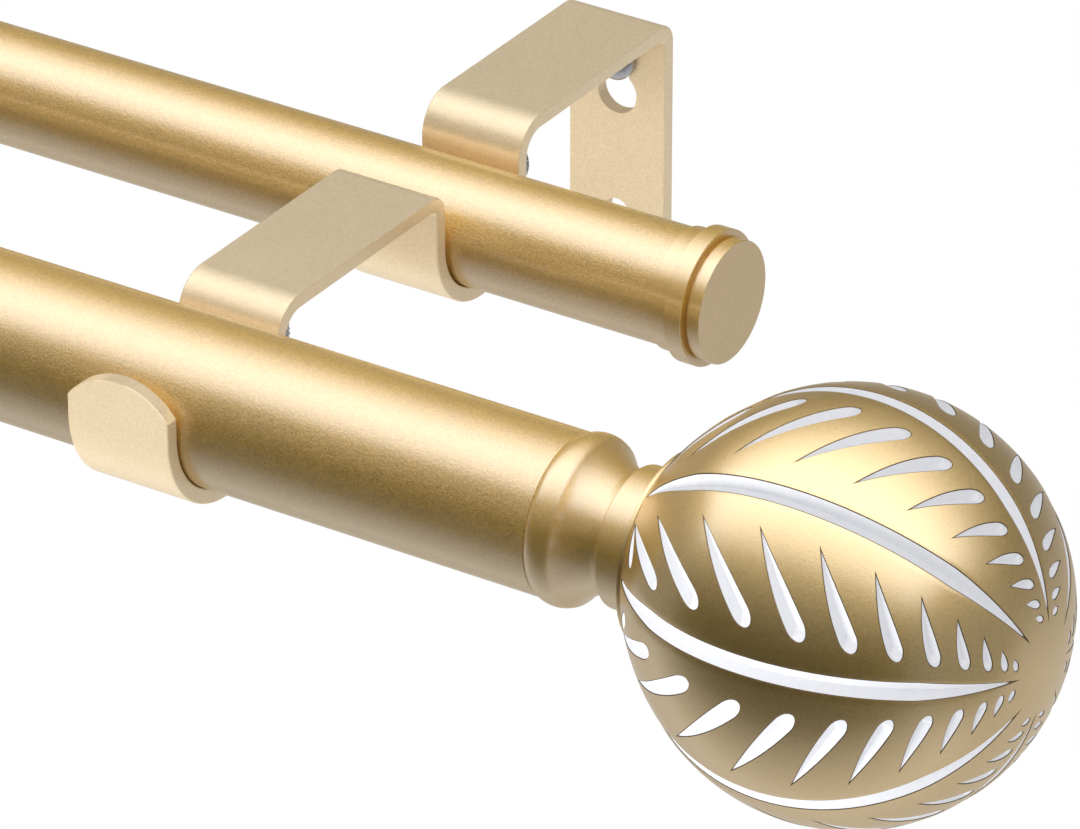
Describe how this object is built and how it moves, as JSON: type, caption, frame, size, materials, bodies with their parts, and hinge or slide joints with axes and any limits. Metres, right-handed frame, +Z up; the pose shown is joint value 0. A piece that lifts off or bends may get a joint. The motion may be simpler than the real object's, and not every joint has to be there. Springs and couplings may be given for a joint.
{
  "type": "double curtain pole",
  "caption": "Double curtain pole with carved ball finials on the front tube, turned caps on the rear tube and folded strip brackets for the wall.",
  "frame": {"origin": "midway between the two lower screw holes of the wall plates, in the wall plane", "axes": "+X along both poles, +Y into the wall, +Z up"},
  "size_m": [0.8706, 0.1688, 0.0672],
  "materials": {
    "pole": "satin champagne gold with fine sparkle",
    "bracket": "satin champagne gold",
    "neck": "satin champagne gold",
    "ball": "satin gold with white grooves",
    "groove": "white paint in the carved grooves",
    "screw": "zinc plated",
    "plug": "moulded, plain"
  },
  "bodies": {
    "root": {"front_pole": "pole", "rear_pole": "pole", "left_bracket": "bracket", "right_bracket": "bracket", "left_rear_lock_screw": "screw", "right_rear_lock_screw": "screw", "left_front_lock_screw": "screw", "right_front_lock_screw": "screw", "left_wall_screw": "screw", "right_wall_screw": "screw", "left_finial_neck": "neck", "right_finial_neck": "neck", "left_finial_ball": "ball", "right_finial_ball": "ball", "left_finial_stud": "screw", "right_finial_stud": "screw", "left_pole_plug": "plug", "right_pole_plug": "plug", "left_rear_cap": "neck", "right_rear_cap": "neck"}
  },
  "joints": []
}
